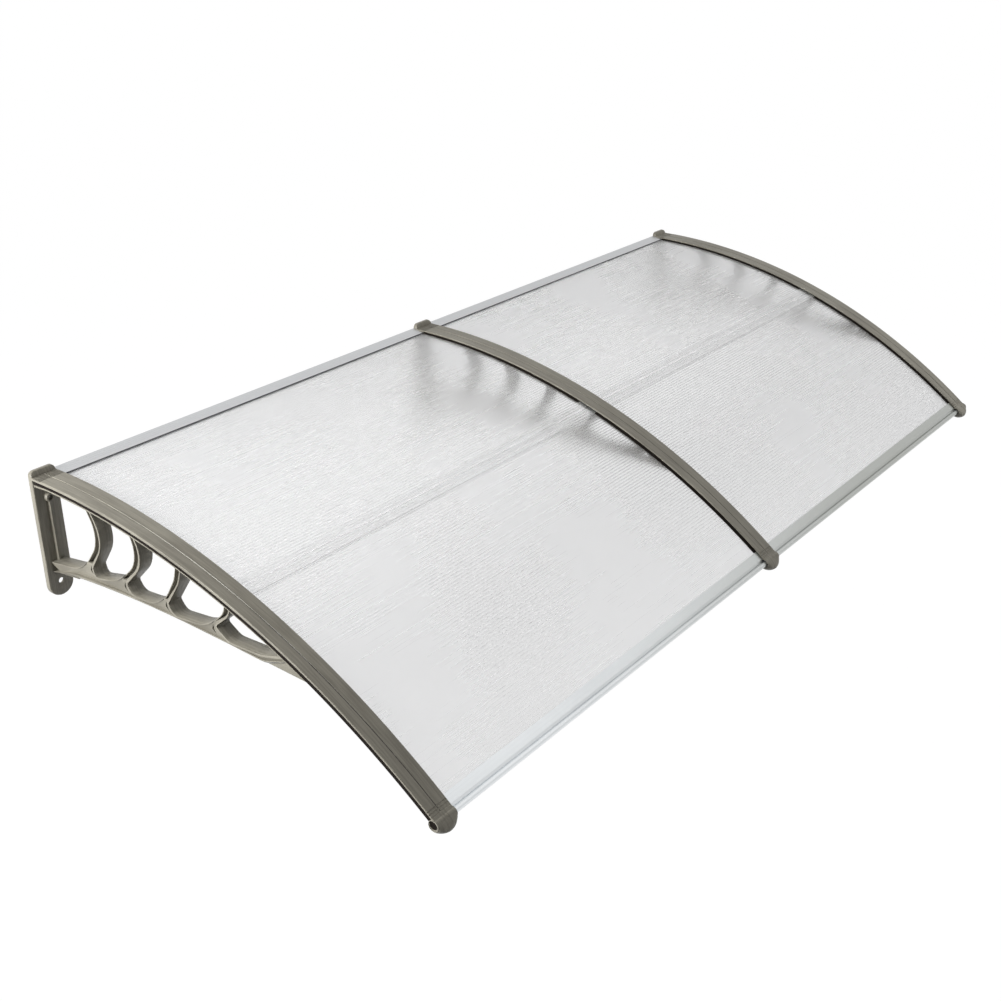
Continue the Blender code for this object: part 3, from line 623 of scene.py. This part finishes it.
def nose_grid(centre):
    """Sections swell to the middle by a parabola; the ends turn in and close on socket floors."""
    turn = np.linspace(0, 2 * math.pi, NOSE_AROUND, endpoint=False)
    socket = np.stack((np.cos(turn), np.sin(turn)))
    chamfer, wider = SOCKET_CHAMFER
    end = [(SOCKET_FLOOR, socket * SOCKET_MIDDLE), (SOCKET_FLOOR, socket * SOCKET_RADIUS),
           (NOSE_HALF - chamfer, socket * SOCKET_RADIUS),
           (NOSE_HALF, socket * (SOCKET_RADIUS + wider))]
    outer = np.stack(nose_section(turn, NOSE_END_RADIUS))
    for angle in np.linspace(math.pi / 2, 0, EDGE_TURNS):
        shrink = NOSE_EDGE * (1 - math.cos(angle)) / NOSE_END_RADIUS
        end.append((NOSE_HALF - NOSE_EDGE * (1 - math.sin(angle)), outer * (1 - shrink)))
    middle = []
    for x in np.linspace(-1, 1, NOSE_ACROSS)[1:-1] * (NOSE_HALF - NOSE_EDGE):
        swell = 1 - (x / NOSE_HALF) ** 2
        radius = NOSE_END_RADIUS + (NOSE_MID_RADIUS - NOSE_END_RADIUS) * swell
        middle.append((x, np.stack(nose_section(turn, radius))))
    rings = [(-x, offset) for x, offset in end] + middle + end[::-1]
    x = np.array([ring[0] for ring in rings])[:, None]
    offsets = np.array([ring[1] for ring in rings])
    ahead, below = flattened(x, offsets[:, 0], offsets[:, 1])
    run, depth = NOSE_RUN + ahead, NOSE_DEPTH + below
    return world(np.broadcast_to(centre + x, run.shape), run, depth)


def socket_shade_grid(x_low, x_high):
    """Black disc in an unused socket, painted shade of the empty hole: circles shrunk to a point
    at each end.
    """
    turn = np.linspace(0, 2 * math.pi, NOSE_AROUND, endpoint=False)
    radius = SOCKET_RADIUS - SOCKET_SHADE_CLEAR
    x = np.array((x_low, x_low, x_high, x_high))[:, None]
    scale = np.array((MERGE, radius, radius, MERGE))[:, None]
    run, depth = NOSE_RUN + scale * np.cos(turn), NOSE_DEPTH + scale * np.sin(turn)
    return world(np.broadcast_to(x, run.shape), run, depth)


for node, centre in BRACKETS:
    mesh = grid_mesh(node + "_nose", nose_grid(centre))
    piece_from(mesh, moulding, "bracket_moulding", node)

# Painted shade: a black disc sits in each outer socket, which is really an empty, shaded hole.
for node, centre in (BRACKETS[0], BRACKETS[-1]):
    side = math.copysign(1, centre)
    ends = sorted(centre + side * x for x in (SOCKET_FLOOR, NOSE_HALF - SOCKET_SHADE_BACK))
    piece_from(grid_mesh(node + "_socket_shade", socket_shade_grid(*ends)), recess_shade, None)


# Rear bars
# An extruded aluminium bar lies against the wall in each bay. Its top slopes down
# over the sheet's rear edge, with three fine lengthwise grooves and a round front
# lip; a thin dark sealing strip closes the lip against the sheet, and it also
# stands as painted shade for the dark gap under the lip.
SHEET_TOP = 0.0060
SHEET_BOTTOM = 0.0100
GAP = 0.0003
BAR_SKIN = 0.0012
BAR_BACK = 0.0015
BAR_DROP = 0.0005
BAR_REACH = 0.0280
BAR_SOFT = 0.0004
BAR_GROOVES = (0.0075, 0.0135, 0.0195)
BAR_GROOVE = (0.0010, 0.0009)
SEAL_WIDTH = 0.0022
SEAL_HEIGHT = 0.0011
SEAL_TUCK = 0.0004
SEAL_FRONT = 0.6
SEAL_SOFT = 0.0005
SEAL_AND_SHADE_COLOUR = (0.045, 0.045, 0.048)
BRUSH_STRETCH = (2.5, 1800, 1800)
BRUSH_CLOUD = 6
BRUSH_COLOUR = (0.58, 0.60, 0.62)
BRUSH_SHARES = (0.5, 0.3)
BRUSH_ROUGHNESS = (0.22, 0.14, 0.08)
REAR_TONES_AND_REFLECTION = ((0.60, 0.602, 0.606), (0.58, 0.582, 0.586))
REFLECTION_SPAN = (-0.9, 0.5)
CORNER_SHARE = 0.45
CORNER_STEPS = 4
BAYS = (("left", -BAY), ("right", 0.0))


def brushed_finish(name, near, far):
    """Anodised aluminium: its tone changes along X as a painted reflection, and fine lines vary
    its gloss and slope.
    """
    finish = Finish(name, Metallic=0.85)
    lines = finish.noise(1.0, 3, BRUSH_STRETCH)
    cloud = finish.noise(BRUSH_CLOUD, 2)
    # Painted reflection: the colour runs from the near tone at the left end to the far one at the
    # right, standing for reflections that change along the bar.
    tone = finish.mix(finish.place()[0].ramp(*REFLECTION_SPAN), rgba(near), rgba(far))
    in_lines, in_clouds = BRUSH_SHARES
    least, by_lines, by_clouds = BRUSH_ROUGHNESS
    finish.set(finish.shader, {
        "Base Color": finish.mix(lines * in_lines + cloud * in_clouds, tone, rgba(BRUSH_COLOUR)),
        "Roughness": lines * by_lines + cloud * by_clouds + least})
    finish.bump(lines, 0.15, 0.0001)
    return finish.material


def rounded(outline, radius):
    """Cut back each corner, by less beside a short side, and bridge it with a parabola."""
    corner = np.asarray(outline, dtype=float)
    to_last = np.roll(corner, 1, axis=0) - corner
    to_next = np.roll(corner, -1, axis=0) - corner
    last_length = np.linalg.norm(to_last, axis=1, keepdims=True)
    next_length = np.linalg.norm(to_next, axis=1, keepdims=True)
    cut = np.minimum(np.minimum(last_length, next_length) * CORNER_SHARE, radius)
    first = (corner + to_last / last_length * cut)[:, None]
    last = (corner + to_next / next_length * cut)[:, None]
    share = np.linspace(0, 1, CORNER_STEPS)[None, :, None]
    pull = 2 * share * (1 - share) * corner[:, None]
    return ((1 - share) ** 2 * first + pull + share ** 2 * last).reshape(-1, 2)


def along_x(name, outline, low, high):
    """Carry a closed outline of reach and height from one X to another."""
    ends = np.array((low, high))[:, None]
    shape = (2, len(outline))
    points = np.stack((np.broadcast_to(ends, shape), np.broadcast_to(-outline[:, 0], shape),
                       np.broadcast_to(outline[:, 1], shape)), axis=-1)
    return grid_mesh(name, points)


def run_at(reach, depth):
    """Run of the point at this reach: the arc sine of its share of the radius."""
    return ARC_RADIUS * math.asin((reach - CREST_REACH) / (ARC_RADIUS - depth))


def grooved_line(start, end, places, groove):
    """Points along a straight line, dipping to its right-hand side in a V at each place."""
    forward = (end - start) / np.linalg.norm(end - start)
    side = np.array((forward[1], -forward[0]))
    half, deep = groove
    along = (np.array(places)[:, None] + np.array((-half, 0, half))).ravel()
    dip = np.tile((0, deep, 0), len(places))
    return start + along[:, None] * forward + dip[:, None] * side


def rear_bar_outline():
    """C section: sloping top with its grooves, upright back and a short foot below the sheet."""
    run = run_at(BAR_REACH, SHEET_TOP)
    high, low = SHEET_TOP - GAP, SHEET_BOTTOM + GAP
    back = run_at(BAR_BACK, SHEET_TOP)
    tip = np.array(on_arc(run, high - BAR_SKIN))
    heel = np.array((0.0, -BAR_DROP))
    top = grooved_line(heel, tip, BAR_GROOVES, BAR_GROOVE)
    foot = on_arc(run_at(0.0, SHEET_TOP), low + BAR_SKIN)[1]
    under = [on_arc(run, high), (BAR_BACK, -BAR_DROP - BAR_SKIN), on_arc(back, low),
             on_arc(run, low), on_arc(run, low + BAR_SKIN), (0.0, foot)]
    return rounded(np.concatenate(([heel], top, [tip], under)), BAR_SOFT)


def seal_outline():
    """Low rounded strip on the sheet, right in front of the bar's lip."""
    run = run_at(BAR_REACH, SHEET_TOP)
    rear, front = run - SEAL_TUCK, run + SEAL_WIDTH
    corners = [on_arc(rear, SHEET_TOP), on_arc(rear, SHEET_TOP - SEAL_HEIGHT),
               on_arc(front, SHEET_TOP - SEAL_HEIGHT * SEAL_FRONT), on_arc(front, SHEET_TOP)]
    return rounded(corners, SEAL_SOFT)


rear_aluminium = brushed_finish("rear_aluminium", *REAR_TONES_AND_REFLECTION)
# The dark strip in front of the lip is a seal and also painted shade: it darkens the line where
# the lip meets the sheet.
seal_and_shade_rubber = rubber_and_shade_finish("seal_and_shade_rubber", SEAL_AND_SHADE_COLOUR)
for side, start in BAYS:
    ends = start + FLANGE_HALF_WALL + GAP, start + BAY - FLANGE_HALF_WALL - GAP
    mesh = along_x("rear_extrusion_" + side, rear_bar_outline(), *ends)
    piece_from(mesh, rear_aluminium, "pale_aluminium", "rear_bar_" + side)
    piece_from(along_x("rear_seal_" + side, seal_outline(), *ends), seal_and_shade_rubber, None)


# Twin-wall sheets
# Extruded clear polycarbonate: two thin skins joined by ribs that run along the
# wall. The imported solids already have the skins, the ribs and the open flutes, so
# they stay and get a clear, slightly milky material.
SHEETS = ("sheet_rear_left", "sheet_rear_right", "sheet_front_left", "sheet_front_right")
SHEET_TINT_AND_SHADE = ((0.932, 0.933, 0.935), (0.850, 0.851, 0.853))
SHADE_SPAN = (0.35, 0.75)
SHEET_BEND = 1.19
SHEET_ROUGHNESS = (0.235, 0.05)
SHEET_CLEAR = 0.965
FINE_STRETCH = (2, 500, 500)
HAZE_SCALE = 3
HAZE_WHITE = 0.3
SHADOW_SHARE = 0.8
DEEP_BOUNCES = 8.5


def clear_finish(name, tint_and_shade, bend, roughness, clear):
    """Clear plastic with a faint haze; away from the wall its colour darkens, partly its own
    tinge and partly painted shade.

    It refracts less than the real plastic, as the photo hardly shows the flutes. It
    lets most of a shadow's light through, and light that has already passed many
    clear surfaces goes straight on.
    """
    finish = Finish(name, IOR=bend, Transmission_Weight=clear)
    least, spread = roughness
    haze = finish.noise(HAZE_SCALE, 3)
    fine = finish.noise(1.0, 2, FINE_STRETCH)
    away = finish.place()[1] * -1
    # Painted shade: the colour darkens from the rear sheets to the front ones, where less light
    # falls on them.
    shaded_tint = finish.mix(away.ramp(*SHADE_SPAN), *(rgba(tone) for tone in tint_and_shade))
    finish.set(finish.shader, {
        "Base Color": finish.mix(haze * HAZE_WHITE, shaded_tint, rgba((1.0, 1.0, 1.0))),
        "Roughness": haze * spread + fine * spread * 0.5 + least})
    path = finish.node("LightPath")
    shadow = finish.wire(path, "Is Shadow Ray") * SHADOW_SHARE
    depth = finish.wire(path, "Transmission Depth")
    deep = depth.maths("GREATER_THAN", depth, DEEP_BOUNCES)
    finish.blend(shadow.maths("MAXIMUM", shadow, deep), finish.node("BsdfTransparent"))
    return finish.material


twin_wall = clear_finish("twin_wall_clear", SHEET_TINT_AND_SHADE, SHEET_BEND, SHEET_ROUGHNESS, SHEET_CLEAR)
for name in SHEETS:
    for slot in frame["nodes"][name].material_slots:
        slot.material = twin_wall


# Connectors
# A clear extruded H strip joins the rear and the front sheet in each bay. Its
# top and bottom are finely ridged along the wall.
CONNECTOR_RUN = 0.4475
CONNECTOR_WIDTH = 0.0450
CONNECTOR_WEB = 0.0012
PROFILE_LIP = 0.0009
PROFILE_TOP = 0.0048
PROFILE_BOTTOM = 0.0112
WEB_HALF = 0.0020
END_CLEAR = 0.0015
RIDGES = 9
RIDGE_STEPS = 6
RIDGE_DIP = 0.0002
STRIP_TINT_AND_SHADE = ((0.985, 0.986, 0.986), (0.975, 0.976, 0.976))
STRIP_BEND = 1.25
STRIP_ROUGHNESS = (0.08, 0.04)
STRIP_CLEAR = 0.98


def connector_outline():
    """H section; each face's depth is a raised cosine that dips between the ridges."""
    along = np.linspace(-0.5, 0.5, RIDGES * RIDGE_STEPS + 1)
    runs = CONNECTOR_RUN + along * CONNECTOR_WIDTH
    dip = RIDGE_DIP * (0.5 - 0.5 * np.cos(along * RIDGES * 2 * math.pi))
    left, right = CONNECTOR_RUN - CONNECTOR_WEB / 2, CONNECTOR_RUN + CONNECTOR_WEB / 2
    upper, lower = PROFILE_TOP + PROFILE_LIP, PROFILE_BOTTOM - PROFILE_LIP
    inner_runs = np.array((runs[-1], right, right, runs[-1]))
    inner_depths = np.array((upper, upper, lower, lower))
    other_runs = np.array((runs[0], left, left, runs[0]))
    top, bottom = PROFILE_TOP + dip, PROFILE_BOTTOM - dip
    run = np.concatenate((runs, inner_runs, runs[::-1], other_runs))
    depth = np.concatenate((top, inner_depths, bottom, inner_depths[::-1]))
    return np.stack(on_arc(run, depth), axis=-1)


clear_strip = clear_finish(
    "connector_clear", STRIP_TINT_AND_SHADE, STRIP_BEND, STRIP_ROUGHNESS, STRIP_CLEAR)
for side, start in BAYS:
    ends = start + WEB_HALF + END_CLEAR, start + BAY - WEB_HALF - END_CLEAR
    mesh = along_x("connector_strip_" + side, connector_outline(), *ends)
    piece_from(mesh, clear_strip, "clear_connector", "connector_" + side)


# Front bars
# An extruded aluminium channel grips the sheet's front edge in each bay. A flat
# band, a hollow groove and a round bead run along it; the bead sits in the noses.
FRONT_WIDTH = 0.0280
FRONT_WEB_BACK = 0.0120
SHOULDER_BACK = 0.0098
GROOVE_BACK = 0.0052
GROOVE_DEPTH = 0.0070
LOW_GROOVE_MORE = 0.0006
BEAD_AHEAD = 0.0008
BEAD_RADIUS = 0.0052
BEAD_NECK_HALF = 0.0022
BEAD_STEPS = 28
FRONT_CLEAR = 0.0120
FRONT_SOFT = 0.0006
FRONT_TONES_AND_REFLECTION = ((0.96, 0.99, 1.00), (0.41, 0.42, 0.37))


def front_bar_outline():
    """Channel corners rounded, hollow shoulders above and below, and the bead as one arc."""
    sweep = math.pi - math.asin(BEAD_NECK_HALF / BEAD_RADIUS)
    turn = np.linspace(-sweep, sweep, BEAD_STEPS)
    bead = np.stack((NOSE_RUN + BEAD_AHEAD + BEAD_RADIUS * np.cos(turn),
                     NOSE_DEPTH + BEAD_RADIUS * np.sin(turn)), axis=-1)
    edge, web = NOSE_RUN - FRONT_WIDTH, NOSE_RUN - FRONT_WEB_BACK
    shoulder, groove = NOSE_RUN - SHOULDER_BACK, NOSE_RUN - GROOVE_BACK
    low_groove = 2 * NOSE_DEPTH - GROOVE_DEPTH + LOW_GROOVE_MORE
    upper, lower = SHEET_TOP - GAP, SHEET_BOTTOM + GAP
    corners = [(groove, low_groove), (shoulder, PROFILE_BOTTOM), (edge, PROFILE_BOTTOM),
               (edge, lower), (web, lower), (web, upper), (edge, upper), (edge, PROFILE_TOP),
               (shoulder, PROFILE_TOP), (groove, GROOVE_DEPTH)]
    both = np.concatenate((rounded(corners, FRONT_SOFT), bead))
    return np.stack(on_arc(both[:, 0], both[:, 1]), axis=-1)


front_aluminium = brushed_finish("front_aluminium", *FRONT_TONES_AND_REFLECTION)
for side, start in BAYS:
    ends = start + FRONT_CLEAR, start + BAY - FRONT_CLEAR
    mesh = along_x("front_extrusion_" + side, front_bar_outline(), *ends)
    piece_from(mesh, front_aluminium, "pale_aluminium", "front_bar_" + side)


# Floor, lamps and camera
# A plain studio: a pale floor well below the canopy, soft light that comes mostly
# from the left and from above, and the photograph's camera.
FLOOR_HEIGHT = -1.10
FLOOR_SIZE = 80.0
FLOOR_GREY = 0.16
FLOOR_GLOW = 1.10
FLOOR_SHARE = 0.9
FLOOR_SHADE = (0.80, 0.20, 1.20)
CAMERA_PLACE = (-2.17448, -1.93169, 0.97036)
CAMERA_TURN = math.radians(308.108)
CAMERA_DOWN = math.radians(25.916)
CAMERA_ROLL = math.radians(-0.176)
FOCAL_PIXELS = 1346.4
IMAGE_PIXELS = 1001
SENSOR_MM = 36.0
AMBIENT = 0.34
SKY_LOW = 0.75
SKY_RISE = (0.25, 0.70)
LAMPS = (("key_left", (-2.8, 0.25, 0.5), (-1.0, -0.3, -0.1), 0.8, 90, True),
         ("top_rear", (-1.8, 1.7, 1.9), (-0.6, -0.2, -0.1), 1.4, 68, False),
         ("fill_front", (2.4, -2.4, 1.4), (0.2, -0.6, -0.1), 1.5, 62, False))


def studio_floor():
    """Floor that is white to the camera and in mirrors, but grey as a source of light."""
    corners = FLOOR_SIZE / 2 * np.array(((-1, -1), (1, -1), (1, 1), (-1, 1)))
    mesh = bpy.data.meshes.new("floor")
    mesh.from_pydata([(*corner, FLOOR_HEIGHT) for corner in corners.tolist()], [], [(0, 1, 2, 3)])
    finish = Finish("studio_floor", Roughness=0.9)
    finish.set(finish.shader, {"Base Color": rgba((FLOOR_GREY,) * 3)})
    path = finish.node("LightPath")
    # Painted shade: seen through the clear sheets the floor is dimmer at smaller Y, which darkens
    # what the front sheets show.
    dim, near, far = FLOOR_SHADE
    paler_back = finish.place()[1].ramp(near, far) * (1 - dim) + dim
    through = finish.wire(path, "Is Transmission Ray") * paler_back
    seen = finish.wire(path, "Is Camera Ray") + through
    seen = seen.maths("MAXIMUM", seen, finish.wire(path, "Is Glossy Ray"))
    glow = finish.node("Emission", None, {"Color": (1, 1, 1, 1), "Strength": FLOOR_GLOW})
    finish.blend(seen * FLOOR_SHARE, glow)
    floor = bpy.data.objects.new("floor", mesh)
    bpy.context.scene.collection.objects.link(floor)
    mesh.materials.append(finish.material)


def studio_sky():
    """White to the camera and through the sheets; in gloss it is greyer near the horizon."""
    sky = bpy.data.worlds.new("studio")
    bpy.context.scene.world = sky
    sky.use_nodes = True
    tree = Tree(sky.node_tree)
    path = tree.node("LightPath")
    split = tree.node("SeparateXYZ", None, {0: tree.wire(tree.node("TexCoord"), "Generated")})
    mirrored = tree.wire(split, 2).ramp(*SKY_RISE) * (1 - SKY_LOW) + SKY_LOW
    seen = tree.wire(path, "Is Camera Ray") + tree.wire(path, "Is Transmission Ray")
    gloss = tree.wire(path, "Is Glossy Ray")
    level = seen.maths("MAXIMUM", seen, gloss * mirrored)
    tree.set(sky.node_tree.nodes["Background"], {
        "Color": (1, 1, 1, 1), "Strength": level.maths("MAXIMUM", level, AMBIENT)})


def lamp(name, place, target, size, power, mirrored):
    """Square area lamp aimed at a point; unless mirrored, no gloss or clear part shows it."""
    light = bpy.data.lights.new(name, "AREA")
    light.shape = "SQUARE"
    light.size = size
    light.energy = power
    holder = bpy.data.objects.new(name, light)
    aim = (Vector(target) - Vector(place)).to_track_quat("-Z", "Y")
    holder.matrix_world = Matrix.Translation(place) @ aim.to_matrix().to_4x4()
    holder.visible_glossy = mirrored
    holder.visible_transmission = mirrored
    bpy.context.scene.collection.objects.link(holder)


def studio_camera():
    """Turn about Z, tilt down and roll; the lens is the focal length over the image's width."""
    turn, down = CAMERA_TURN, CAMERA_DOWN
    level = math.cos(down)
    ahead = Vector((-math.sin(turn) * level, math.cos(turn) * level, -math.sin(down)))
    right = ahead.cross(Vector((0, 0, 1))).normalized()
    up = right.cross(ahead)
    tilted = math.cos(CAMERA_ROLL) * right + math.sin(CAMERA_ROLL) * up
    upright = tilted.cross(ahead)
    camera = bpy.data.cameras.new("camera")
    camera.sensor_width = SENSOR_MM
    camera.lens = FOCAL_PIXELS * SENSOR_MM / IMAGE_PIXELS
    camera.clip_end = 2 * FLOOR_SIZE
    holder = bpy.data.objects.new("camera", camera)
    axes = Matrix((tilted, upright, -ahead)).transposed()
    holder.matrix_world = Matrix.Translation(CAMERA_PLACE) @ axes.to_4x4()
    bpy.context.scene.collection.objects.link(holder)
    bpy.context.scene.camera = holder


studio_floor()
studio_sky()
for values in LAMPS:
    lamp(*values)
studio_camera()
bpy.context.scene.view_settings.view_transform = "Standard"
